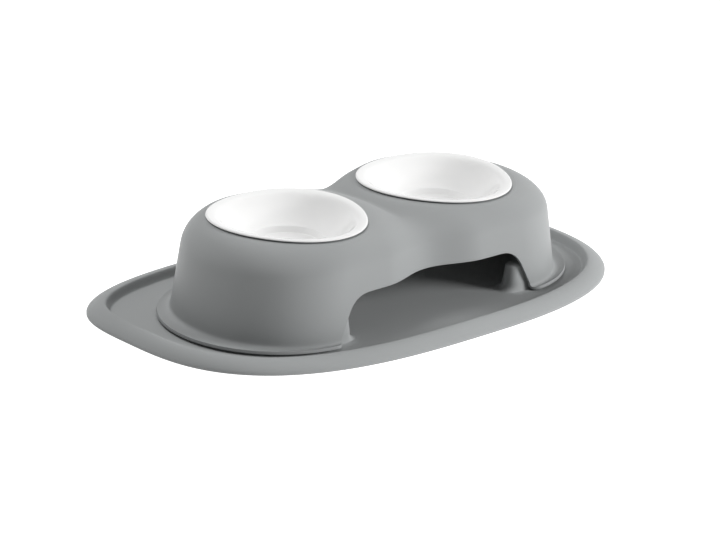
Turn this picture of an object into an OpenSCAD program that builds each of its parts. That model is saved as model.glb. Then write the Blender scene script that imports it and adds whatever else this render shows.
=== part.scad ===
// Raised double pet bowl: a soft rimmed mat, a hollow moulded stand and two lift-out bowls
// Millimetres. +X runs along the mat, +Y to its back, +Z up. The table is z = 0.

/* [Mat] */
// Overall length of the mat
mat_l = 590; // [580:1:640]
// Overall width of the mat
mat_w = 339; // [332:1:350]
// Height of the rim's crest above the table
rim_h = 12.8; // [9:0.2:16]
// Width of the rim, from its outer edge to the flat floor
rim_w = 29; // [26:1:32]
// How far in from the outer edge the crest lies
rim_crest_in = 16; // [12:0.5:20]
// Height of the blunt outer edge
rim_edge_h = 2; // [1:0.25:3]
// Thickness of the mat's skin
mat_t = 3; // [2:0.25:4]
// Squareness of the two front corners
front_corner_power = 2.75; // [2.5:0.05:3.2]
// Squareness of the two back corners
back_corner_power = 3.65; // [3:0.05:4.2]

/* [Mat bosses] */
// Height of the bosses above the table
boss_h = 33; // [24:1:40]
// Distance from the middle of the mat to the straight face of each boss
boss_face_x = 121; // [114:1:126]
// Gap between a boss and the foot that drops over it
boss_gap = 2; // [1.5:0.25:4]
// Size of the round at the ends of the straight face
boss_corner = 24; // [12:1:32]
// Width of the flare where the straight face meets the floor
boss_flare = 6; // [3:0.5:9]

/* [Stand] */
// Height of the deck that the bowls rest on
deck_z = 101.7; // [95:0.1:110]
// Distance from the middle to the centre of each foot
foot_x = 131; // [127:1:135]
// How far the feet's centres lie in front of the mat's middle
foot_front = 3.6; // [0:0.2:6]
// Half length of a foot at the bottom of its wall
foot_rx = 101; // [97:1:104]
// Half width of a foot at the bottom of its wall
foot_ry = 109.4; // [106:0.2:111]
// Half length of the flange round each foot
flange_rx = 116; // [114:0.5:118]
// Half width of the flange round each foot
flange_ry = 114; // [112.5:0.5:116]
// Thickness of the flange
flange_t = 3; // [2:0.25:4]
// Thickness of the stand's wall
wall_t = 3; // [2:0.25:4]
// Lean of the walls, in degrees
wall_draft = 9; // [5:0.5:12]
// Height at which the wall turns into the shoulder
shoulder_z = 74; // [68:1:82]
// Roundness of the shoulder, where 2 is an ellipse
shoulder_power = 2.05; // [1.8:0.05:2.4]
// How far the front of the neck is drawn in at the bottom
waist_front = 12; // [6:1:18]
// How far the back of the neck is drawn in at the bottom
waist_back = 14; // [6:1:20]
// How far the front of the deck is drawn in between the bowls
deck_waist_front = 24; // [14:1:32]
// How far the back of the deck is drawn in between the bowls
deck_waist_back = 27; // [14:1:34]
// Depth of the valley between the bowls
valley = 6; // [3:0.5:9]

/* [Arch] */
// Height of the arch above the table
arch_h = 51; // [44:0.5:56]
// Half width of the arch below its round corners
arch_side_x = 126.4; // [122:0.2:130]
// Radius of the arch's upper corners
arch_corner_r = 21; // [12:1:26]
// Height at which the sides of the arch start to spread
arch_spread_z = 32; // [26:1:36]
// How far the sides of the arch spread down to the flange
arch_spread = 10; // [6:0.5:14]
// How far the arch flares out through the flange
arch_flare = 12; // [6:0.5:16]

/* [Bowls] */
// Distance from the middle to the centre of each bowl
bowl_x = 103.9; // [101:0.1:106]
// How far the bowls' centres lie behind the mat's middle
bowl_y = 6.4; // [3:0.1:9]
// Mean radius of the lip
lip_r = 82.5; // [81:0.1:84]
// How far the three corners of the lip stand out
lip_lobe = 3.2; // [1:0.1:4.5]
// Height of the lip's crest above the deck
lip_h = 2.9; // [2:0.1:5]
// Distance from the lip's edge to its crest
lip_crest_in = 4; // [3:0.1:5]
// Width of the lip, from its edge to where the dish begins
lip_w = 16.4; // [13:0.2:20]
// How far the lip falls from its crest to the dish
lip_fall = 4.6; // [2:0.1:7]
// Radius of the round well in the dish
well_r = 38; // [32:0.5:44]
// Depth of the well's edge below the lip's crest
dish_depth = 26; // [20:0.5:30]
// Depth of the well's floor below its edge
well_depth = 5.6; // [3:0.2:8]
// Thickness of the bowls
bowl_t = 2.6; // [2:0.1:3.5]
// Gap between a bowl and the edge of its opening
opening_gap = 1; // [0.6:0.1:2]
// Width of the deck under the lip
seat_w = 7; // [5:0.25:8]

/* [Hidden] */

// Clearance between pieces that rest on each other
rest_gap = 0.3;
// Overrun of every cut past the faces that it opens
overrun = 10;

// Height of the cove between the flange and the wall
cove_h = 5;
// Size of the soft edge of the flange
flange_soft = 1.2;
// Size of the round at a boss's upper edge
boss_round = 6;
// Size of the round between a bowl's well and its floor
well_round = 3;

// Numbers of steps round each outline and along each profile
mat_steps = 84;
boss_steps = 36;
end_steps = 22;
side_steps = 14;
bowl_steps = 48;
cove_steps = 4;
wall_steps = 2;
shoulder_steps = 7;
arch_steps = 5;
well_steps = 2;
dish_steps = 5;
lip_steps = 3;

// Places that follow from the sizes above
floor_z = mat_t;
stand_z = floor_z + rest_gap;
opening_in = seat_w;
lip_z = deck_z + rest_gap;
crest_z = lip_z + lip_h;

// Faces that close a ring with a ladder of strips, which starts at the ring's point number first
function cap_faces(n, first, base, up) =
    [for (s = [0:n / 2 - 1])
        let (a = base + (first - s + n) % n, b = base + (first + s) % n,
             c = base + (first + s + 1) % n, d = base + (first - s - 1 + n) % n)
        each concat(a == b ? [] : [up ? [a, c, b] : [a, b, c]],
                    c == d ? [] : [up ? [a, d, c] : [a, c, d]])];

// Faces that join rings of n points in order and cap the first and the last
function skin_faces(n, rows, first) = concat(
    cap_faces(n, first, 0, false),
    [for (k = [0:rows - 2], i = [0:n - 1])
        each [[k * n + i, (k + 1) * n + (i + 1) % n, k * n + (i + 1) % n],
              [k * n + i, (k + 1) * n + i, (k + 1) * n + (i + 1) % n]]],
    cap_faces(n, first, (rows - 1) * n, true));

// A closed solid through rings of equal length
module skin(rings, first = 0) {
    polyhedron(points = [for (r = rings) each r],
               faces = skin_faces(len(rings[0]), len(rings), first), convexity = 8);
}

// The convex solid round two rings
module slab(low, high) {
    points = concat(low, high);
    hull() polyhedron(points = points, faces = [[for (i = [0:len(points) - 1]) i]]);
}

// A value raised to a power with its sign kept
function signed_power(value, power) = sign(value) * pow(abs(value), power);

// The line of greatest length lies this far in front of the mat's middle
mat_mid_share = 0.06;
mat_mid_y = mat_w * mat_mid_share;

// One point of the mat's outline, a squared oval with fuller back corners
function mat_edge(a) =
    let (power = sin(a) > 0 ? back_corner_power : front_corner_power,
         reach = sin(a) > 0 ? mat_w / 2 - mat_mid_y : mat_w / 2 + mat_mid_y)
    [mat_l / 2 * signed_power(cos(a), 2 / power),
     mat_mid_y + reach * signed_power(sin(a), 2 / power)];

// The outward direction of the outline there
function mat_normal(a) =
    let (power = sin(a) > 0 ? back_corner_power : front_corner_power,
         reach = sin(a) > 0 ? mat_w / 2 - mat_mid_y : mat_w / 2 + mat_mid_y,
         nx = signed_power(cos(a), 2 - 2 / power) / (mat_l / 2),
         ny = signed_power(sin(a), 2 - 2 / power) / reach)
    [nx, ny] / norm([nx, ny]);

function mat_ring(inset, z) =
    [for (i = [0:mat_steps - 1])
        let (a = 360 * (i + 0.5) / mat_steps, p = mat_edge(a) - inset * mat_normal(a))
        [p[0], p[1], z]];

// Height of the rim's upper face at a distance in from the outer edge
rim_power = 1.7;
rim_rise_power = 0.71;
function rim_face(inset) = inset < rim_crest_in
    ? rim_edge_h + (rim_h - rim_edge_h) * pow(1 - pow(1 - inset / rim_crest_in, rim_power), rim_rise_power)
    : floor_z + (rim_h - floor_z) * (1 + cos(180 * (inset - rim_crest_in) / (rim_w - rim_crest_in))) / 2;

// Shares of the rim's width at which it gets a ring, outer face first
rim_out_shares = [0, 0.04, 0.14, 0.3, 0.47];
rim_in_shares = [0.6, 0.72, 0.83, 0.92, 1];
rim_under_shares = [0.9, 0.72, 0.5, 0.3];
// Height of the sharp lower edge, as a share of the blunt edge's height
rim_foot_share = 0.3;

// One end of the outline of a boss, a foot's oval cut straight across on its inner side
function boss_ring(inset, flare, z) =
    [for (i = [0:boss_steps - 1])
        let (a = 360 * i / boss_steps,
             rx = foot_rx - wall_t - boss_gap - inset,
             ry = foot_ry - wall_t - boss_gap - inset,
             past = foot_x + rx * cos(a) - boss_face_x - inset,
             out = flare * max(0, -cos(a)))
        [boss_face_x + inset - out + (past + norm([past, boss_corner])) / 2,
         ry * sin(a) * (1 + out / ry / 2) - foot_front, z]];

// Insets and heights of a boss's levels, as shares of its lean and its height above the floor
boss_lean = boss_h * tan(wall_draft);
boss_inset_shares = [0, 0.05, 0.3, 1];
boss_height_shares = [0, 0.14, 0.35, 0.86];
boss_flare_shares = [1, 0.25, 0, 0];

function boss_levels(skin_t) = concat(
    [for (k = [0:3])
        boss_ring(skin_t + boss_lean * boss_inset_shares[k], boss_flare * boss_flare_shares[k],
                  floor_z - skin_t + (boss_h - floor_z) * boss_height_shares[k])],
    [boss_ring(skin_t + boss_lean + boss_round / 4, 0, boss_h - skin_t - boss_round / 4),
     boss_ring(skin_t + boss_lean + boss_round, 0, boss_h - skin_t)]);

module boss(skin_t) {
    rings = boss_levels(skin_t);
    for (k = [0:len(rings) - 2]) slab(rings[k], rings[k + 1]);
    slab(rings[0], [for (p = rings[0]) [p[0], p[1], p[2] - (skin_t > 0 ? overrun : floor_z / 2)]]);
}

module mat_body() {
    skin(concat(
        [mat_ring(rim_w, 0)],
        [for (s = rim_under_shares) mat_ring(rim_w * s, max(0, rim_face(rim_w * s) - mat_t))],
        [mat_ring(mat_t, 0), mat_ring(rim_edge_h * rim_foot_share, 0)],
        [for (s = rim_out_shares) mat_ring(rim_w * s, rim_face(rim_w * s))],
        [for (s = rim_in_shares) mat_ring(rim_w * s, rim_face(rim_w * s))]));
}

module mat() {
    color([0.48, 0.49, 0.5])
    difference() {
        union() {
            mat_body();
            boss(0);
            mirror([1, 0, 0]) boss(0);
        }
        boss(mat_t);
        mirror([1, 0, 0]) boss(mat_t);
    }
}

// Closed outline of the stand at one level: two half ovals joined by waisted front and back lines
function stand_ring(cx, cy, rx, ry, front, back, z, dip) = concat(
    [for (i = [0:end_steps - 1])
        let (a = 180 * i / end_steps - 90)
        [cx + rx * cos(a), cy + ry * sin(a), z]],
    [for (i = [0:side_steps - 1])
        let (u = 1 - 2 * i / side_steps, c = pow(cos(90 * u), 2))
        [cx * u, cy + ry - back * c, z - dip * c]],
    [for (i = [0:end_steps - 1])
        let (a = 180 * i / end_steps + 90)
        [-cx + rx * cos(a), cy + ry * sin(a), z]],
    [for (i = [0:side_steps - 1])
        let (u = 2 * i / side_steps - 1, c = pow(cos(90 * u), 2))
        [cx * u, cy - ry + front * c, z - dip * c]]);

// Points part of the way from one ring to another, at a share of the plan distance and of the height
function between(low, high, plan_share, height_share) =
    [for (i = [0:len(low) - 1])
        [low[i][0] + (high[i][0] - low[i][0]) * plan_share,
         low[i][1] + (high[i][1] - low[i][1]) * plan_share,
         low[i][2] + (high[i][2] - low[i][2]) * height_share]];

// Points above a ring, moved a set distance towards another one
function leaned(low, high, shift, z) =
    [for (i = [0:len(low) - 1])
        let (d = [high[i][0] - low[i][0], high[i][1] - low[i][1]])
        [low[i][0] + d[0] / norm(d) * shift, low[i][1] + d[1] / norm(d) * shift, z]];

flange_z = stand_z + flange_t;
wall_z = flange_z + cove_h;

function flange_line(inset, z) =
    stand_ring(foot_x, -foot_front, flange_rx - inset, flange_ry - inset, waist_front, waist_back, z, 0);

function wall_line(inset) =
    stand_ring(foot_x, -foot_front, foot_rx - inset, foot_ry - inset, waist_front, waist_back, wall_z, 0);

// The deck's edge hugs the two lips
deck_edge_r = lip_r + lip_lobe;

function deck_line(inset, z) =
    stand_ring(bowl_x, bowl_y, deck_edge_r - inset, deck_edge_r - inset,
               deck_waist_front, deck_waist_back, z, valley);

// Wall, shoulder and deck of the outer face, or of the inner face at a distance inside it
function stand_upper(inset) =
    let (low = wall_line(inset), high = deck_line(inset, deck_z - inset),
         turn_z = shoulder_z - inset / 2,
         lean = (turn_z - wall_z) * tan(wall_draft), turn = leaned(low, high, lean, turn_z))
    concat(
        [for (k = [0:wall_steps - 1])
            leaned(low, high, lean * k / wall_steps, wall_z + (turn_z - wall_z) * k / wall_steps)],
        [for (k = [0:shoulder_steps - 1])
            let (a = 90 * k / shoulder_steps)
            between(turn, high, 1 - pow(cos(a), 2 / shoulder_power), pow(sin(a), 2 / shoulder_power))],
        [high]);

// The flange's face from its edge to the wall, flat and then coved
cove_plan_power = 1.8;
cove_rise_power = 2.4;
function cove() =
    let (low = flange_line(flange_soft, flange_z), high = wall_line(0))
    [for (k = [0:cove_steps - 1])
        let (u = k / cove_steps)
        between(low, high, 1 - pow(1 - u, cove_plan_power), pow(u, cove_rise_power))];

module outer_form() {
    skin(concat([flange_line(flange_t * 2, stand_z), flange_line(0, stand_z + flange_t / 2),
                 flange_line(flange_soft / 4, flange_z - flange_soft / 3)],
                cove(), stand_upper(0)), first = end_steps / 2);
}

module inner_form() {
    skin(concat([[for (p = wall_line(wall_t)) [p[0], p[1], -overrun]]], stand_upper(wall_t)),
         first = end_steps / 2);
}

// Half width and height of the arch's outline, from the table up
flare_at_flange_share = 0.4;
spread_shares = [0.33, 0.67, 1];
spread_power = 1.5;
function arch_side() = concat(
    [[arch_side_x + arch_spread + arch_flare, -overrun],
     [arch_side_x + arch_spread + arch_flare, floor_z],
     [arch_side_x + arch_spread + arch_flare * flare_at_flange_share, flange_z],
     [arch_side_x + arch_spread, wall_z]],
    [for (u = spread_shares)
        [arch_side_x + arch_spread * pow(1 - u, spread_power), wall_z + (arch_spread_z - wall_z) * u]],
    [for (k = [1:arch_steps])
        let (a = 90 * k / arch_steps)
        [arch_side_x - arch_corner_r * (1 - cos(a)),
         arch_spread_z + (arch_h - arch_spread_z) * sin(a)]]);

module arch() {
    side = arch_side();
    reach = foot_ry + flange_ry;
    for (k = [0:len(side) - 2])
        slab([for (x = [-1, 1], y = [-1, 1]) [x * side[k][0], y * reach, side[k][1]]],
             [for (x = [-1, 1], y = [-1, 1]) [x * side[k + 1][0], y * reach, side[k + 1][1]]]);
}

// Outline of the lip, or a line at a distance inside it: a circle with three soft corners
function lip_point(r, lobe_share, i) =
    let (a = 360 * i / bowl_steps - 90)
    [(r + lip_lobe * lobe_share * cos(3 * (a + 90))) * cos(a),
     (r + lip_lobe * lobe_share * cos(3 * (a + 90))) * sin(a)];

module bowl_opening() {
    translate([0, 0, shoulder_z])
    linear_extrude(deck_z - shoulder_z + overrun)
    polygon([for (i = [0:bowl_steps - 1]) lip_point(lip_r - opening_in, 1, i)]);
}

module stand() {
    color([0.55, 0.56, 0.57])
    difference() {
        outer_form();
        inner_form();
        arch();
        for (x = [-bowl_x, bowl_x]) translate([x, bowl_y, 0]) bowl_opening();
    }
}

// Upper face of a bowl, from the well's floor out to the lip's edge: radius, height and share of the lobes
dish_r = lip_r - lip_w;
dish_z = crest_z - lip_fall;
well_z = crest_z - dish_depth;
well_side_share = 1.6;
well_edge_share = 0.38;
well_floor_r = well_r - well_round * well_side_share;
dish_start_r = well_r + well_round / 2;
well_turn = 60;
dish_power = 1.6;
dish_lobe_share = 0.9;

function bowl_face() = concat(
    [for (k = [0:well_steps])
        let (a = well_turn * k / well_steps)
        [well_floor_r + well_round * sin(a), well_z - well_depth + well_round * (1 - cos(a)), 0]],
    [[well_r - well_round * well_edge_share, well_z - well_round * well_edge_share, 0]],
    [for (k = [0:dish_steps])
        let (u = k / dish_steps)
        [dish_start_r + (dish_r - dish_start_r) * u,
         well_z + (dish_z - well_z) * pow(u, dish_power), dish_lobe_share * u]],
    [for (k = [1:lip_steps])
        let (u = k / lip_steps)
        [dish_r + (lip_w - lip_crest_in) * u, dish_z + lip_fall * sin(90 * u),
         dish_lobe_share + (1 - dish_lobe_share) * u]],
    [for (k = [1:lip_steps])
        let (a = 90 * k / lip_steps)
        [lip_r - lip_crest_in * (1 - sin(a)), crest_z - lip_h * (1 - cos(a)), 1]]);

// Lower face: the upper one moved down by the bowl's thickness, square to the face, and held up over the deck
body_r = lip_r - seat_w - opening_gap;
function bowl_under(face) =
    [for (k = [len(face) - 2:-1:0])
        let (ahead = face[k + 1], back = face[max(0, k - 1)],
             d = [ahead[0] - back[0], ahead[1] - back[1]],
             r = face[k][0] + bowl_t * d[1] / norm(d), z = face[k][1] - bowl_t * d[0] / norm(d))
        if (r < lip_r - lip_crest_in / 2)
        [min(r, r > dish_r + lip_w / 3 ? r : body_r), r > body_r ? lip_z : z, face[k][2]]];

module bowl() {
    face = bowl_face();
    lower = bowl_under(face);
    rows = concat([for (f = face) f], lower);
    color([0.94, 0.94, 0.94])
    skin([for (k = [len(rows) - 1:-1:0])
        [for (i = [0:bowl_steps - 1])
            let (p = lip_point(rows[k][0], rows[k][2], i))
            [p[0], p[1], rows[k][1]]]]);
}

module bowl_left() {
    translate([-bowl_x, bowl_y, 0]) bowl();
}

module bowl_right() {
    translate([bowl_x, bowl_y, 0]) bowl();
}

mat();
stand();
bowl_left();
bowl_right();
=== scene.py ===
"""A raised double pet bowl: a soft rimmed mat, a hollow moulded stand and two lift-out dishes. Metres."""

import math

import bpy
import numpy as np
from mathutils import Matrix, Vector, geometry


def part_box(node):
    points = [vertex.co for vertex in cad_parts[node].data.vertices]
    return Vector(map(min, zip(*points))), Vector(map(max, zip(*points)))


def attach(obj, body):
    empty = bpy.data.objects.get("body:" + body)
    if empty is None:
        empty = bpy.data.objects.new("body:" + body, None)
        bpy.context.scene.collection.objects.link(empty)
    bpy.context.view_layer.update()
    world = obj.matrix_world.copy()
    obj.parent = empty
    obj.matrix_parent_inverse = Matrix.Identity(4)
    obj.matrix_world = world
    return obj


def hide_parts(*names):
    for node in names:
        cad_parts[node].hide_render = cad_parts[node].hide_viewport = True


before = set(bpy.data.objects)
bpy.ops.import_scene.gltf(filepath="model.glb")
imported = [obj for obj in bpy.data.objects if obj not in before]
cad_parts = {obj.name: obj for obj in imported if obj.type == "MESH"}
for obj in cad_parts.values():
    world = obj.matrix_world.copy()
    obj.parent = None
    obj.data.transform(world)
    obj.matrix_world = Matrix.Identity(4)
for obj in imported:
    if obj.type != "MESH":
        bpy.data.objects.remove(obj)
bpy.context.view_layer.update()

# Mat
# One soft moulding of grey thermoplastic rubber with a fine matt grain. Its floor lies flat on the table
# inside a rolled rim. Two hollow C-shaped curbs rise from the floor, inside the walls of the stand's feet.
mat_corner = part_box("mat")[1]
mat_half_length = mat_corner.x
mat_half_width = mat_corner.y
mat_skin = 0.003
rim_height = 0.0118
rim_width = 0.0255
rim_crest_in = 0.0185
rim_edge_height = 0.002
rim_power = 1.7
rim_rise_power = 0.71
rim_rise_rows = 13
rim_fall_rows = 14
floor_row_steps = (0.0012, 0.0036)
widest_share = 0.12
front_power = 2.75
back_power = 3.65
widest_y = mat_half_width * widest_share
mat_columns = 150
middle_columns = 36
weld_distance = 0.00002
edge_round = 0.0009
edge_round_steps = 3
edge_angle = math.radians(48)


def outline_point(angle):
    """The mat's outline and its outward direction at an angle seen from the widest line."""
    power = np.where(np.sin(angle) > 0, back_power, front_power)
    reach = np.where(np.sin(angle) > 0, mat_half_width - widest_y, mat_half_width + widest_y)
    along = np.abs(np.cos(angle)) / mat_half_length
    across = np.abs(np.sin(angle)) / reach
    radius = (along**power + across**power) ** (-1 / power)
    normal = np.stack(
        [
            np.sign(np.cos(angle)) * (along * radius) ** (power - 1) / mat_half_length,
            np.sign(np.sin(angle)) * (across * radius) ** (power - 1) / reach,
        ],
        axis=-1,
    )
    normal /= np.linalg.norm(normal, axis=-1, keepdims=True)
    place = np.stack([radius * np.cos(angle), widest_y + radius * np.sin(angle)], axis=-1)
    return place, normal


def rim_face(inset):
    """Height of the rim's upper face at a distance in from the mat's outer edge."""
    rise = 1 - np.clip(1 - inset / rim_crest_in, 0, 1) ** rim_power
    outer = rim_edge_height + (rim_height - rim_edge_height) * rise**rim_rise_power
    turn = np.clip((inset - rim_crest_in) / (rim_width - rim_crest_in), 0, 1)
    inner = mat_skin + (rim_height - mat_skin) * (1 + np.cos(math.pi * turn)) / 2
    return np.where(inset < rim_crest_in, outer, inner)


def level(plan, height):
    """Plan points lifted to a height."""
    plan = np.asarray(plan, float)
    return np.concatenate([plan, np.broadcast_to(height, plan.shape[:-1])[..., None]], axis=-1)


def grid_patch(rows, closed=False):
    """Points and quads of a grid whose rows run inwards and whose columns run anticlockwise."""
    grid = np.stack(rows)
    columns = grid.shape[1]
    faces = []
    for row in range(len(grid) - 1):
        for column in range(columns if closed else columns - 1):
            here = row * columns + column
            beside = row * columns + (column + 1) % columns
            faces.append([here, beside, beside + columns, here + columns])
    return grid.reshape(-1, 3), faces


def sheet_object(name, patches):
    """One mesh from right-hand patches of points and faces and their mirror images, welded together."""
    points, faces = [], []
    for places, corners in patches:
        for side in (1, -1):
            start = len(points)
            points.extend((places * (side, 1, 1)).tolist())
            faces += [[start + k for k in corner[::side]] for corner in corners]
    mesh = bpy.data.meshes.new(name)
    mesh.from_pydata(points, [], faces)
    piece = bpy.data.objects.new(name, mesh)
    bpy.context.scene.collection.objects.link(piece)
    weld = piece.modifiers.new("weld", "WELD")
    weld.merge_threshold = weld_distance
    return piece


def finish_mesh(piece):
    """Bakes a piece's modifiers into its mesh and shades it smooth."""
    bpy.context.view_layer.update()
    seen = piece.evaluated_get(bpy.context.evaluated_depsgraph_get())
    solid = bpy.data.meshes.new_from_object(seen)
    piece.modifiers.clear()
    piece.data = solid
    solid.polygons.foreach_set("use_smooth", [True] * len(solid.polygons))
    solid.update()


def give_skin(piece, thickness):
    """Gives a sheet its wall thickness on the inner side and a small round on its edges."""
    wall = piece.modifiers.new("wall", "SOLIDIFY")
    wall.thickness = thickness
    wall.offset = -1
    soft = piece.modifiers.new("soft edge", "BEVEL")
    soft.width = edge_round
    soft.segments = edge_round_steps
    soft.limit_method = "ANGLE"
    soft.angle_limit = edge_angle
    finish_mesh(piece)


mat_angles = np.linspace(-math.pi / 2, math.pi / 2, mat_columns + 1)
rim_place, rim_normal = outline_point(mat_angles)


def mat_line(inset, height):
    """Right half of the line that runs at a distance in from the mat's outer edge."""
    line = level(rim_place - rim_normal * inset, height)
    line[[0, -1], 0] = 0
    return line


rise_insets = rim_crest_in * (1 - np.cos(np.linspace(0, math.pi / 2, rim_rise_rows)))
fall_insets = np.linspace(rim_crest_in, rim_width, rim_fall_rows + 1)[1:]
floor_insets = rim_width + np.array(floor_row_steps)
rim_rows = [mat_line(0, 0), mat_line(0, rim_edge_height / 2)]
for inset in np.concatenate([rise_insets, fall_insets, floor_insets]):
    rim_rows.append(mat_line(inset, rim_face(inset)))
floor_edge = rim_rows[-1]
middle_y = np.linspace(floor_edge[-1][1], floor_edge[0][1], middle_columns + 2)[1:-1]
floor_loop = np.concatenate([floor_edge, level([(0, y) for y in middle_y], mat_skin)])

# The curbs stand just inside the walls of the stand's hollow feet, and their round ends show through the arch
curb_height = 0.033
curb_width = 0.021
curb_end_x = 0.113
curb_flare = 0.0095
curb_outer_flare_share = 0.09
curb_gap = 0.002
curb_round = 0.005
curb_lean_angle = math.radians(5)
crown_power = 2.7
foot_x = 0.131
foot_front = 0.0026
foot_half_length = 0.1002
foot_half_width = 0.1086
stand_skin = 0.003
curb_half_length = foot_half_length - stand_skin - curb_gap - curb_width / 2
curb_half_width = foot_half_width - stand_skin - curb_gap - curb_width / 2
curb_end_angle = math.acos((curb_end_x + curb_width / 2 - foot_x) / curb_half_length)
curb_columns = 90
curb_end_columns = 16
curb_cove_rows = 10
curb_wall_rows = 7
floor_spacing = 0.008
triangle_gap = 1e-7


def curb_ring(inset, flare, height):
    """Outline of the right curb at a distance inside its base: outer side, back, inner side, front."""
    half = curb_width / 2 - inset
    side_angles = np.linspace(-curb_end_angle, curb_end_angle, curb_columns + 1)
    end_turns = np.linspace(0, math.pi, curb_end_columns + 1)[1:-1]
    spread = np.where(end_turns < math.pi / 2, np.sin(end_turns) ** 2, 1)
    end_widths = half + flare * (curb_outer_flare_share + (1 - curb_outer_flare_share) * spread)
    end_out = end_widths * np.cos(end_turns)
    end_ahead = end_widths * np.sin(end_turns)

    def at(angle, out, ahead):
        """Plan points at an angle of the curb's middle line, moved out from it and ahead along it."""
        x = foot_x + curb_half_length * np.cos(angle) + out * np.cos(angle) - ahead * np.sin(angle)
        y = curb_half_width * np.sin(angle) + out * np.sin(angle) + ahead * np.cos(angle) - foot_front
        return np.stack([x, y], axis=-1)

    outer = at(side_angles, half + flare * curb_outer_flare_share, 0)
    back_end = at(curb_end_angle, end_out, end_ahead)
    inner = at(side_angles[::-1], -half - flare, 0)
    front_end = at(-curb_end_angle, end_out[::-1], -end_ahead[::-1])
    return level(np.concatenate([outer, back_end, inner, front_end]), height)


def inside(points, loop):
    """Which plan points lie inside a closed line."""
    x, y = points[:, 0, None], points[:, 1, None]
    x0, y0 = loop[:, 0], loop[:, 1]
    x1, y1 = np.roll(x0, -1), np.roll(y0, -1)
    crosses = (y0 > y) != (y1 > y)
    run = np.where(y1 == y0, 1, y1 - y0)
    return (crosses & (x < x0 + (y - y0) * (x1 - x0) / run)).sum(axis=1) % 2 == 1


def flat_patch(loop, hole, height, spacing):
    """A flat floor between a closed line and a hole, in even triangles."""
    lines = np.concatenate([loop[:, :2], hole[:, :2]])
    low, high = loop[:, :2].min(axis=0), loop[:, :2].max(axis=0)
    across, along = np.meshgrid(np.arange(low[0], high[0], spacing), np.arange(low[1], high[1], spacing))
    fill = np.stack([across.ravel(), along.ravel()], axis=-1)
    clear = np.linalg.norm(fill[:, None] - lines[None], axis=-1).min(axis=1) > spacing / 2
    fill = fill[clear & inside(fill, loop) & ~inside(fill, hole)]
    points = np.concatenate([lines, fill])
    outer, inner = len(loop), len(hole)
    edges = [(k, (k + 1) % outer) for k in range(outer)]
    edges += [(outer + k, outer + (k + 1) % inner) for k in range(inner)]
    found = geometry.delaunay_2d_cdt([Vector(p) for p in points.tolist()], edges, [], 0, triangle_gap)
    places = np.array([tuple(p) for p in found[0]])
    corners = np.array(found[2])
    middles = places[corners].mean(axis=1)
    corners = corners[inside(middles, loop) & ~inside(middles, hole)]
    return level(places, height), [list(map(int, corner)) for corner in corners]


curb_top_z = curb_height - curb_round
curb_cove_top = mat_skin + curb_flare
curb_lean = (curb_top_z - mat_skin) * math.tan(curb_lean_angle)
quarter_turns = np.linspace(0, math.pi / 2, curb_cove_rows)
curb_rows = []
for turn in quarter_turns:
    cove_height = mat_skin + curb_flare * (1 - math.cos(turn))
    curb_rows.append(curb_ring(0, curb_flare * (1 - math.sin(turn)), cove_height))
for share in np.linspace(0, 1, curb_wall_rows + 1)[1:]:
    curb_rows.append(curb_ring(curb_lean * share, 0, curb_cove_top + (curb_top_z - curb_cove_top) * share))
for turn in quarter_turns[1:]:
    crown_in = (curb_width / 2 - curb_lean) * (1 - max(math.cos(turn), 0) ** (2 / crown_power))
    crown_height = curb_top_z + curb_round * math.sin(turn) ** (2 / crown_power)
    curb_rows.append(curb_ring(curb_lean + crown_in, 0, crown_height))
mat_patches = [
    grid_patch(rim_rows),
    flat_patch(floor_loop, curb_rows[0], mat_skin, floor_spacing),
    grid_patch(curb_rows, closed=True),
]
mat = sheet_object("feeding_mat", mat_patches)
give_skin(mat, mat_skin)


def moulded_grain_group():
    """Spark-eroded grain of a moulded face: its fine height, and a slow change over the whole piece."""
    group = bpy.data.node_groups.new("moulded grain", "ShaderNodeTree")
    sockets = group.interface
    sockets.new_socket("Place", in_out="INPUT", socket_type="NodeSocketVector")
    sockets.new_socket("Grains per metre", in_out="INPUT", socket_type="NodeSocketFloat")
    sockets.new_socket("Patches per metre", in_out="INPUT", socket_type="NodeSocketFloat")
    sockets.new_socket("Grain", in_out="OUTPUT", socket_type="NodeSocketFloat")
    sockets.new_socket("Patch", in_out="OUTPUT", socket_type="NodeSocketFloat")
    given = group.nodes.new("NodeGroupInput")
    result = group.nodes.new("NodeGroupOutput")
    fine = group.nodes.new("ShaderNodeTexNoise")
    fine.inputs["Detail"].default_value = 3
    fine.inputs["Roughness"].default_value = 0.62
    slow = group.nodes.new("ShaderNodeTexNoise")
    slow.inputs["Detail"].default_value = 2
    group.links.new(given.outputs["Place"], fine.inputs["Vector"])
    group.links.new(given.outputs["Place"], slow.inputs["Vector"])
    group.links.new(given.outputs["Grains per metre"], fine.inputs["Scale"])
    group.links.new(given.outputs["Patches per metre"], slow.inputs["Scale"])
    group.links.new(fine.outputs["Fac"], result.inputs["Grain"])
    group.links.new(slow.outputs["Fac"], result.inputs["Patch"])
    return group


moulded_grain = moulded_grain_group()
colour_a, colour_b, colour_result = 6, 7, 2


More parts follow.
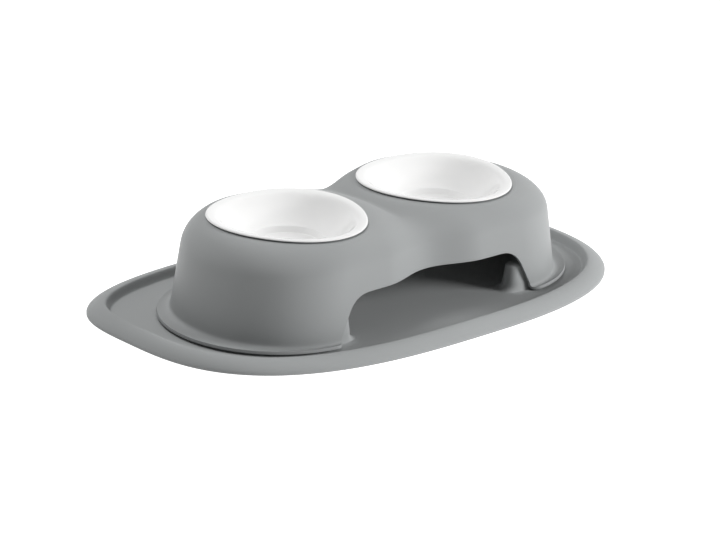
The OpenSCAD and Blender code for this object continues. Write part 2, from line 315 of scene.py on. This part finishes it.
def moulded_material(name, shade, spread, sheen, sheen_spread, mirror, grains, grain_depth, patches):
    """A moulded plastic or rubber: its shade and sheen drift slowly, and its grain has a set depth."""
    material = bpy.data.materials.new(name)
    material.use_nodes = True
    nodes, links = material.node_tree.nodes, material.node_tree.links
    skin = nodes["Principled BSDF"]
    skin.inputs["Specular IOR Level"].default_value = mirror
    place = nodes.new("ShaderNodeTexCoord")
    grain = nodes.new("ShaderNodeGroup")
    grain.node_tree = moulded_grain
    grain.inputs["Grains per metre"].default_value = grains
    grain.inputs["Patches per metre"].default_value = patches
    links.new(place.outputs["Object"], grain.inputs["Place"])
    tint = nodes.new("ShaderNodeMix")
    tint.data_type = "RGBA"
    tint.inputs[colour_a].default_value = (*[c * (1 - spread) for c in shade], 1)
    tint.inputs[colour_b].default_value = (*[c * (1 + spread) for c in shade], 1)
    links.new(grain.outputs["Patch"], tint.inputs["Factor"])
    links.new(tint.outputs[colour_result], skin.inputs["Base Color"])
    dull = nodes.new("ShaderNodeMapRange")
    dull.inputs["To Min"].default_value = sheen - sheen_spread
    dull.inputs["To Max"].default_value = sheen + sheen_spread
    links.new(grain.outputs["Patch"], dull.inputs["Value"])
    links.new(dull.outputs["Result"], skin.inputs["Roughness"])
    bump = nodes.new("ShaderNodeBump")
    bump.inputs["Distance"].default_value = grain_depth
    links.new(grain.outputs["Grain"], bump.inputs["Height"])
    links.new(bump.outputs["Normal"], skin.inputs["Normal"])
    return material


rubber = moulded_material(
    "soft grey rubber",
    shade=(0.345, 0.356, 0.358),
    spread=0.02,
    sheen=0.6,
    sheen_spread=0.05,
    mirror=0.35,
    grains=2600,
    grain_depth=0.00009,
    patches=45,
)
mat.data.materials.append(rubber)
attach(mat, "mat")
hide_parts("mat")

# Stand
# One hollow moulding of grey plastic, blown or injected with a wall of about 3 mm. Two round feet with a
# coved flange carry a waisted body with full shoulders, and a wide arch is cut through its front and back.
top_drop = 0.0012
deck_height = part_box("stand")[1].z - top_drop
stand_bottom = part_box("stand")[0].z
flange_top = stand_bottom + stand_skin
flange_half_length = 0.1182
flange_half_width = 0.116
flange_lift = 0.0022
flange_lift_power = 3
cove_rise = 0.005
cove_plan_power = 1.8
cove_rise_power = 2.4
wall_bottom = flange_top + cove_rise
wall_lean = math.radians(9)
shoulder_height = 0.074
shoulder_power = 1.78
waist_reach = 0.07
waist_front = 0.0147
waist_back = 0.016
deck_waist_front = 0.024
deck_waist_back = 0.027
valley_depth = 0.0065
valley_reach = 0.035
bowl_x = 0.1039
bowl_y = 0.0064
lip_radius = 0.0825
lip_lobe = 0.0032
lip_corners = 3
seat_width = 0.007
deck_radius = lip_radius + lip_lobe


def waisted_line(t, centre_x, centre_y, half_length, half_width, reach, front, back):
    """Right half of a waisted outline: t runs from -0.5 at the front middle to 1.5 at the back middle."""
    turn = np.pi * (np.clip(t, 0, 1) - 0.5)
    before = np.clip(1 + 2 * t, 0, 1)
    behind = np.clip(3 - 2 * t, 0, 1)
    along = np.where(t < 0, before, np.where(t > 1, behind, 1))
    drawn = np.cos(np.pi / 2 * np.clip(centre_x * along / reach, 0, 1)) ** 2
    x = centre_x * along + half_length * np.cos(turn)
    y = centre_y + half_width * np.sin(turn) + drawn * np.where(t < 0, front, np.where(t > 1, -back, 0))
    return np.stack([x, y], axis=-1)


def deck_z(plan):
    """Height of the deck, which dips in a valley that starts at the lips of the two bowls."""
    beyond = np.hypot(np.abs(plan[..., 0]) - bowl_x, plan[..., 1] - bowl_y) - deck_radius
    return deck_height - valley_depth * np.sin(np.pi / 2 * np.clip(beyond / valley_reach, 0, 1)) ** 2


def stand_face(t, w):
    """Outer face: w is 0 at the flange's edge, 1 above its cove, 2 below the shoulder and 3 on the deck."""
    t, w = np.broadcast_arrays(t, w)
    waist = (waist_reach, waist_front, waist_back)
    deck_waist = (bowl_x, deck_waist_front, deck_waist_back)
    flange = waisted_line(t, foot_x, -foot_front, flange_half_length, flange_half_width, *waist)
    wall = waisted_line(t, foot_x, -foot_front, foot_half_length, foot_half_width, *waist)
    deck = waisted_line(t, bowl_x, bowl_y, deck_radius, deck_radius, *deck_waist)
    inwards = (deck - wall) / np.linalg.norm(deck - wall, axis=-1, keepdims=True)
    lean = (shoulder_height - wall_bottom) * math.tan(wall_lean)
    cove = np.clip(w, 0, 1)
    plan = flange + (wall - flange) * (1 - (1 - cove) ** cove_plan_power)[..., None]
    height = flange_top + flange_lift * (1 - cove) ** flange_lift_power
    height = height + (wall_bottom - flange_top) * cove**cove_rise_power
    rise = np.clip(w - 1, 0, 1)
    plan = plan + inwards * (lean * rise)[..., None]
    height = height + (shoulder_height - wall_bottom) * rise
    turn = np.pi / 2 * np.clip(w - 2, 0, 1)
    round_in = 1 - np.clip(np.cos(turn), 0, 1) ** (2 / shoulder_power)
    round_up = np.sin(turn) ** (2 / shoulder_power)
    plan = plan + (deck - wall - inwards * lean) * round_in[..., None]
    height = height + (deck_z(deck) - shoulder_height) * round_up
    return level(plan, height)


# The arch's edge, from the middle of its top down to the flange, as half widths and heights
arch_height = 0.051
arch_flat_x = 0.093
arch_side_x = 0.1235
arch_side_height = 0.032
arch_side_slope = 0.5
arch_corner_pull = 0.017
arch_side_pull = 0.011
arch_foot_flare = 0.013
arch_foot_x = arch_side_x + arch_side_slope * (arch_side_height - wall_bottom)
arch_top_columns = 44
arch_corner_columns = 20
arch_side_columns = 12
arch_foot_columns = 10
foot_columns = 110
front_middle_t = -0.5
foot_side_t = 0.45
outline_try_count = 4001
outline_tries = np.linspace(front_middle_t, foot_side_t, outline_try_count)


def t_at(x, w):
    """The place along the front quarter of the outline at which the face at height w is x from the middle."""
    return np.interp(x, stand_face(outline_tries, np.full_like(outline_tries, w))[:, 0], outline_tries)


def w_of(z):
    """The wall's place between its bottom and the shoulder at a height."""
    return 1 + (z - wall_bottom) / (shoulder_height - wall_bottom)


arch_edge = []
for share in np.linspace(0, 1, arch_top_columns + 1)[:-1]:
    arch_edge.append((arch_flat_x * share, w_of(arch_height)))
corner_start_x = arch_flat_x + arch_corner_pull
corner_end_x = arch_side_x - arch_side_slope * arch_side_pull
corner_x = (arch_flat_x, corner_start_x, corner_end_x, arch_side_x)
corner_z = (arch_height, arch_height, arch_side_height + arch_side_pull, arch_side_height)
for share in np.linspace(0, 1, arch_corner_columns + 1)[:-1]:
    weights = [(1 - share) ** 3, 3 * (1 - share) ** 2 * share, 3 * (1 - share) * share**2, share**3]
    arch_edge.append((float(np.dot(weights, corner_x)), w_of(float(np.dot(weights, corner_z)))))
for share in np.linspace(0, 1, arch_side_columns + 1)[:-1]:
    side_z = arch_side_height + (wall_bottom - arch_side_height) * share
    arch_edge.append((arch_side_x + (arch_foot_x - arch_side_x) * share, w_of(side_z)))
for turn in np.linspace(0, math.pi / 2, arch_foot_columns + 1)[:-1]:
    arch_edge.append((arch_foot_x + arch_foot_flare * (1 - math.cos(turn)), 1 - math.sin(turn)))
edge_t = np.array([t_at(x, w) for x, w in arch_edge])
edge_w = np.array([w for x, w in arch_edge])
foot_start = t_at(arch_foot_x + arch_foot_flare, 0)

# Columns rise from the front arch's edge, the foot and the back arch's edge, and spread over the deck
face_rows = 46
face_smoothing = 5
deck_rows = 10
spread_reach = 15
spread_shares = (0, 0.16, 0.84, 1)
spread_t = (-0.5, -0.1, 1.1, 1.5)
foot_t = np.linspace(foot_start, 1 - foot_start, foot_columns + 1)
edge_t = np.concatenate([edge_t, foot_t, 1 - edge_t[::-1]])
edge_w = np.concatenate([edge_w, np.zeros_like(foot_t), edge_w[::-1]])
column_shares = np.arange(len(edge_t)) / (len(edge_t) - 1)
deck_t = np.interp(column_shares, spread_shares, spread_t)
window = np.hanning(2 * spread_reach + 1)
window /= window.sum()
before_first = deck_t[0] * 2 - deck_t[spread_reach:0:-1]
after_last = deck_t[-1] * 2 - deck_t[-2 : -spread_reach - 2 : -1]
deck_t = np.convolve(np.concatenate([before_first, deck_t, after_last]), window, mode="valid")


def smooth_rows(rows, passes):
    """Softens the corners between rows in place and leaves the first and the last as they are."""
    for again in range(passes):
        rows[1:-1] = (rows[:-2] + 2 * rows[1:-1] + rows[2:]) / 4


climb = np.linspace(0, 1, face_rows)[:, None]
wall_grid = stand_face(edge_t + (deck_t - edge_t) * climb, edge_w + (3 - edge_w) * climb)
smooth_rows(wall_grid, face_smoothing)
wall_grid[:, [0, -1], 0] = 0
deck_edge = wall_grid[-1]
deck_middle_y = np.linspace(deck_edge[-1][1], deck_edge[0][1], middle_columns + 2)[1:-1]
deck_middle = np.array([(0, y) for y in deck_middle_y])
deck_loop = np.concatenate([deck_edge, level(deck_middle, deck_z(deck_middle))])

# The openings follow the soft three-cornered line of the bowls' lips, which has one corner at the front
opening_bearings = np.arctan2(deck_loop[:, 1] - bowl_y, deck_loop[:, 0] - bowl_x)
opening_reach = lip_radius - seat_width + lip_lobe * np.cos(lip_corners * (opening_bearings + math.pi / 2))
opening_x = bowl_x + opening_reach * np.cos(opening_bearings)
opening_y = bowl_y + opening_reach * np.sin(opening_bearings)
opening = np.stack([opening_x, opening_y], axis=-1)
deck_shares = np.linspace(0, 1, deck_rows)[:, None, None]
deck_plan = deck_loop[None, :, :2] * (1 - deck_shares) + opening[None] * deck_shares
deck_grid = level(deck_plan, deck_z(deck_plan))
stand = sheet_object("hollow_stand", [grid_patch(wall_grid), grid_patch(deck_grid, closed=True)])
give_skin(stand, stand_skin)
plastic = moulded_material(
    "satin grey plastic",
    shade=(0.31, 0.32, 0.322),
    spread=0.015,
    sheen=0.5,
    sheen_spread=0.04,
    mirror=0.4,
    grains=3200,
    grain_depth=0.00006,
    patches=30,
)
stand.data.materials.append(plastic)
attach(stand, "stand")
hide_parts("stand")

# Bowls
# Two dishes of gloss white plastic, each one moulding about 2.6 mm thick. A soft three-cornered lip rests on
# the deck, a round well lies in the middle, and nothing but the lip holds the dish in its opening.
bowl_skin = 0.0026
lip_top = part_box("bowl_left")[1].z - top_drop
lip_lift = 0.0003
lip_under = deck_height + lip_lift
lip_edge_drop = 0.0015
lip_edge_gap = 0.0011
lip_edge_rows = 8
lip_crest_in = 0.002
lip_width = 0.0115
lip_fall = 0.0016
lip_rows = 8
dish_depth = 0.026
dish_wall_power = 1.6
dish_wall_rows = 22
dish_lobe_share = 0.9
well_radius = 0.038
well_depth = 0.0058
well_round = 0.0022
well_round_turn = math.radians(65)
well_round_rows = 6
well_wall_share = 2.5
well_floor_shares = (0.85, 0.5, 0.04)
opening_gap = 0.001
neck_step = 0.0006
neck_lobe_share = 0.97
lip_heel_share = 2
lip_step_share = 1.6
lip_edge_share = 0.25
dish_radius = lip_radius - lip_width
dish_top = lip_top - lip_fall
well_edge = lip_top - dish_depth
body_radius = lip_radius - seat_width - opening_gap
body_top = lip_under - bowl_skin / 2
section_smoothing = 2
lip_inner_rows = slice(8, 25)
lip_inner_smoothing = 3
bowl_columns = 160


def dish_section():
    """Upper face from the lip's edge to the middle of the well: radius, height and share of the lobes."""
    rows = []
    for turn in np.linspace(math.pi / 2, 0, lip_edge_rows + 1)[:-1]:
        radius = lip_radius - lip_crest_in * (1 - math.sin(turn))
        rows.append((radius, lip_top - lip_edge_drop * (1 - math.cos(turn)), 1))
    for share in np.linspace(1, 0, lip_rows + 1)[:-1]:
        radius = dish_radius + (lip_width - lip_crest_in) * share
        height = dish_top + lip_fall * math.sin(math.pi / 2 * share)
        rows.append((radius, height, dish_lobe_share + (1 - dish_lobe_share) * share))
    foot_radius = well_radius + well_round
    for share in np.linspace(1, 0, dish_wall_rows):
        radius = foot_radius + (dish_radius - foot_radius) * share
        height = well_edge + (dish_top - well_edge) * share**dish_wall_power
        rows.append((radius, height, dish_lobe_share * share))
    for turn in np.linspace(0, well_round_turn, well_round_rows + 1)[1:]:
        radius = well_radius + well_round * (1 - math.sin(turn))
        rows.append((radius, well_edge - well_round * (1 - math.cos(turn)), 0))
    floor = well_edge - well_depth
    wall_radius = rows[-1][0]
    for turn in np.linspace(well_round_turn, 0, well_round_rows + 1):
        radius = wall_radius - well_round * (well_wall_share - math.sin(turn))
        rows.append((radius, floor + well_round * (1 - math.cos(turn)), 0))
    floor_radius = wall_radius - well_round * well_wall_share
    for share in well_floor_shares:
        rows.append((floor_radius * share, floor, 0))
    return np.array(rows)


def under_section(face):
    """Lower face, from the middle out: the upper one moved down square to itself by the wall's thickness."""
    run = np.gradient(face[:, :2], axis=0)
    run /= np.linalg.norm(run, axis=1, keepdims=True)
    lower = face.copy()
    lower[:, 0] -= bowl_skin * run[:, 1]
    lower[:, 1] += bowl_skin * run[:, 0]
    return lower[::-1]


upper_rows = dish_section()
smooth_rows(upper_rows, section_smoothing)
smooth_rows(upper_rows[lip_inner_rows], lip_inner_smoothing)
lower_rows = []
for radius, height, lobe_share in under_section(upper_rows):
    outwards = not lower_rows or radius > lower_rows[-1][0]
    if outwards and height < body_top and radius < body_radius:
        lower_rows.append((radius, height, lobe_share))
lower_rows.append((body_radius, body_top, neck_lobe_share))
lower_rows.append((body_radius + neck_step, lip_under, 1))
lower_rows.append((lip_radius - bowl_skin * lip_heel_share, lip_under, 1))
lower_rows.append((lip_radius - bowl_skin * lip_step_share, lip_under + lip_edge_gap, 1))
lower_rows.append((lip_radius - bowl_skin * lip_edge_share, lip_under + lip_edge_gap, 1))
low_pole = (0, lower_rows[0][1], 0)
high_pole = (0, upper_rows[-1][1], 0)
section = np.concatenate([[low_pole], lower_rows, upper_rows, [high_pole]])


def turned_dish_tree():
    """Turns a section of points (radius, lobe share, height) round the dish's middle into a closed shell."""
    tree = bpy.data.node_groups.new("turned dish", "GeometryNodeTree")
    sockets = tree.interface
    sockets.new_socket("Dish", in_out="OUTPUT", socket_type="NodeSocketGeometry")
    sockets.new_socket("Section", in_out="INPUT", socket_type="NodeSocketGeometry")
    sockets.new_socket("Columns", in_out="INPUT", socket_type="NodeSocketInt")
    sockets.new_socket("Lip corners", in_out="INPUT", socket_type="NodeSocketInt")
    sockets.new_socket("Corner reach", in_out="INPUT", socket_type="NodeSocketFloat")
    sockets.new_socket("Middle", in_out="INPUT", socket_type="NodeSocketVector")
    sockets.new_socket("Weld distance", in_out="INPUT", socket_type="NodeSocketFloat")
    sockets.new_socket("Material", in_out="INPUT", socket_type="NodeSocketMaterial")
    given = tree.nodes.new("NodeGroupInput").outputs
    result = tree.nodes.new("NodeGroupOutput")

    def step(kind, **feeds):
        """A node whose named inputs are linked to other nodes' outputs."""
        node = tree.nodes.new(kind)
        for name, source in feeds.items():
            tree.links.new(source, node.inputs[name.replace("_", " ")])
        return node

    def reckon(operation, first, second=0):
        """The result of an operation on outputs of other nodes or plain numbers."""
        node = tree.nodes.new("ShaderNodeMath")
        node.operation = operation
        for socket, value in zip(node.inputs, (first, second)):
            if isinstance(value, bpy.types.NodeSocket):
                tree.links.new(value, socket)
            else:
                socket.default_value = value
        return node.outputs[0]

    rows = step("GeometryNodeAttributeDomainSize", Geometry=given["Section"]).outputs["Point Count"]
    sheet = step("GeometryNodeMeshGrid", Vertices_X=reckon("ADD", given["Columns"], 1), Vertices_Y=rows)
    index = step("GeometryNodeInputIndex").outputs["Index"]
    column = reckon("FLOOR", reckon("DIVIDE", index, rows))
    sample = tree.nodes.new("GeometryNodeSampleIndex")
    sample.data_type = "FLOAT_VECTOR"
    tree.links.new(given["Section"], sample.inputs["Geometry"])
    tree.links.new(step("GeometryNodeInputPosition").outputs["Position"], sample.inputs["Value"])
    tree.links.new(reckon("MODULO", index, rows), sample.inputs["Index"])
    radius, lobe_share, height = step("ShaderNodeSeparateXYZ", Vector=sample.outputs["Value"]).outputs
    turn = reckon("MULTIPLY", column, reckon("DIVIDE", math.tau, given["Columns"]))
    wave = reckon("COSINE", reckon("MULTIPLY", turn, given["Lip corners"]))
    lobe = reckon("MULTIPLY", reckon("MULTIPLY", lobe_share, given["Corner reach"]), wave)
    reach = reckon("ADD", radius, lobe)
    x = reckon("MULTIPLY", reach, reckon("SINE", turn))
    y = reckon("MULTIPLY", reach, reckon("MULTIPLY", reckon("COSINE", turn), -1))
    spot = step("ShaderNodeCombineXYZ", X=x, Y=y, Z=height)
    shift = tree.nodes.new("ShaderNodeVectorMath")
    tree.links.new(spot.outputs["Vector"], shift.inputs[0])
    tree.links.new(given["Middle"], shift.inputs[1])
    shell = step("GeometryNodeSetPosition", Geometry=sheet.outputs["Mesh"], Position=shift.outputs["Vector"])
    open_shell = shell.outputs["Geometry"]
    closed = step("GeometryNodeMergeByDistance", Geometry=open_shell, Distance=given["Weld distance"])
    real = step("GeometryNodeRealizeInstances", Geometry=closed.outputs["Geometry"])
    painted = step("GeometryNodeSetMaterial", Geometry=real.outputs["Geometry"], Material=given["Material"])
    tree.links.new(painted.outputs["Geometry"], result.inputs["Dish"])
    return tree


gloss = moulded_material(
    "gloss white plastic",
    shade=(0.85, 0.85, 0.845),
    spread=0.008,
    sheen=0.3,
    sheen_spread=0.02,
    mirror=0.5,
    grains=700,
    grain_depth=0.000012,
    patches=25,
)
gloss_skin = gloss.node_tree.nodes["Principled BSDF"]
gloss_skin.inputs["Coat Weight"].default_value = 1
gloss_skin.inputs["Coat IOR"].default_value = 1.8
gloss_skin.inputs["Coat Roughness"].default_value = 0.1
dish_tree = turned_dish_tree()


def bowl_object(name, centre_x):
    """One dish turned round its middle from the section, which its mesh starts as."""
    mesh = bpy.data.meshes.new(name)
    steps = [(row, row + 1) for row in range(len(section) - 1)]
    mesh.from_pydata(section[:, [0, 2, 1]].tolist(), steps, [])
    bowl = bpy.data.objects.new(name, mesh)
    bpy.context.scene.collection.objects.link(bowl)
    turning = bowl.modifiers.new("turned dish", "NODES")
    turning.node_group = dish_tree
    sizes = {
        "Columns": bowl_columns,
        "Lip corners": lip_corners,
        "Corner reach": lip_lobe,
        "Middle": (centre_x, bowl_y, 0),
        "Weld distance": weld_distance,
        "Material": gloss,
    }
    for socket in dish_tree.interface.items_tree:
        if socket.name in sizes:
            turning[socket.identifier] = sizes[socket.name]
    finish_mesh(bowl)
    return bowl


for side, centre_x in (("left", -bowl_x), ("right", bowl_x)):
    bowl = bowl_object(f"dish_{side}", centre_x)
    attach(bowl, f"bowl_{side}")
    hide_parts(f"bowl_{side}")

# Table
# A plain white surface that only keeps the object's shadow. It isn't part of the object, and it is white
# wherever the camera or a reflection sees it.
table_half = 6.0
table_gap = 0.0002
table_shade = 0.6
table_light = 0.25
table_seen = 0.95


def two_levels(tree, as_light, as_seen, strength):
    """Feeds a strength one level for the light it gives, and another where it is seen or mirrored."""
    rays = tree.nodes.new("ShaderNodeLightPath")
    seen = rays.outputs["Is Camera Ray"]
    for kind in ("Is Glossy Ray", "Is Transmission Ray"):
        either = tree.nodes.new("ShaderNodeMath")
        either.operation = "MAXIMUM"
        tree.links.new(seen, either.inputs[0])
        tree.links.new(rays.outputs[kind], either.inputs[1])
        seen = either.outputs[0]
    levels = tree.nodes.new("ShaderNodeMapRange")
    levels.inputs["To Min"].default_value = as_light
    levels.inputs["To Max"].default_value = as_seen
    tree.links.new(seen, levels.inputs["Value"])
    tree.links.new(levels.outputs["Result"], strength)


table_mesh = bpy.data.meshes.new("table")
table_plan = ((-1, -1), (1, -1), (1, 1), (-1, 1))
table_mesh.from_pydata([(x * table_half, y * table_half, 0) for x, y in table_plan], [], [(0, 1, 2, 3)])
table = bpy.data.objects.new("table", table_mesh)
table.location.z = -table_gap
bpy.context.scene.collection.objects.link(table)
table_paint = bpy.data.materials.new("white table")
table_paint.use_nodes = True
paint = table_paint.node_tree.nodes["Principled BSDF"]
paint.inputs["Base Color"].default_value = (table_shade, table_shade, table_shade, 1)
paint.inputs["Roughness"].default_value = 0.9
paint.inputs["Specular IOR Level"].default_value = 0
paint.inputs["Emission Color"].default_value = (1, 1, 1, 1)
two_levels(table_paint.node_tree, table_light, table_seen, paint.inputs["Emission Strength"])
table_mesh.materials.append(table_paint)

# Light
# A white room that lights softly, with a large soft lamp high behind the left and one low on the right of
# the front. The room is plain white where it is seen.
room_light = 0.16
room_seen = 1
lamp_aim = Vector((0, 0, 0.05))
back_lamp_place = Vector((-0.33, 0.85, 1.75))
back_lamp_width = 1.3
back_lamp_depth = 1.1
back_lamp_watts = 24.5
front_lamp_place = Vector((1.88, -2.5, 1.15))
front_lamp_width = 1.4
front_lamp_depth = 1.1
front_lamp_watts = 103
world = bpy.data.worlds.new("white room")
bpy.context.scene.world = world
world.use_nodes = True
room = world.node_tree.nodes["Background"]
room.inputs["Color"].default_value = (1, 1, 1, 1)
two_levels(world.node_tree, room_light, room_seen, room.inputs["Strength"])


def soft_lamp(name, place, width, depth, watts):
    """A flat lamp that faces the object and doesn't show in reflections."""
    lamp = bpy.data.lights.new(name, "AREA")
    lamp.shape = "RECTANGLE"
    lamp.size = width
    lamp.size_y = depth
    lamp.energy = watts
    holder = bpy.data.objects.new(name, lamp)
    holder.visible_glossy = False
    holder.location = place
    holder.rotation_euler = (lamp_aim - place).to_track_quat("-Z", "Y").to_euler()
    bpy.context.scene.collection.objects.link(holder)


soft_lamp("back left lamp", back_lamp_place, back_lamp_width, back_lamp_depth, back_lamp_watts)
soft_lamp("right front lamp", front_lamp_place, front_lamp_width, front_lamp_depth, front_lamp_watts)

# Camera
# It stands at the front left of the object and looks down on it, as the photograph's does. Its place and its
# long lens were found from the lips, the foot flanges and the mat's outline.
camera_azimuth = math.radians(-43.783)
camera_elevation = math.radians(20.016)
camera_roll = math.radians(2.596)
camera_distance = 3.3095
camera_target = Vector((-0.03791, -0.03211, 0.04))
camera_sight = 40
image_width = 720
focal_pixels = 3218.3
lens_data = bpy.data.cameras.new("camera")
lens_data.sensor_fit = "HORIZONTAL"
lens_data.lens = focal_pixels / image_width * lens_data.sensor_width
lens_data.clip_end = camera_sight
backwards = Vector(
    (
        math.sin(camera_azimuth) * math.cos(camera_elevation),
        -math.cos(camera_azimuth) * math.cos(camera_elevation),
        math.sin(camera_elevation),
    )
)
rightwards = Vector((math.cos(camera_azimuth), math.sin(camera_azimuth), 0))
upwards = backwards.cross(rightwards)
turned_right = rightwards * math.cos(camera_roll) + upwards * math.sin(camera_roll)
turned_up = backwards.cross(turned_right)
camera_turn = Matrix((turned_right, turned_up, backwards)).transposed().to_4x4()
camera = bpy.data.objects.new("camera", lens_data)
camera.matrix_world = Matrix.Translation(camera_target + backwards * camera_distance) @ camera_turn
bpy.context.scene.collection.objects.link(camera)
bpy.context.scene.camera = camera
bpy.context.scene.view_settings.view_transform = "Standard"
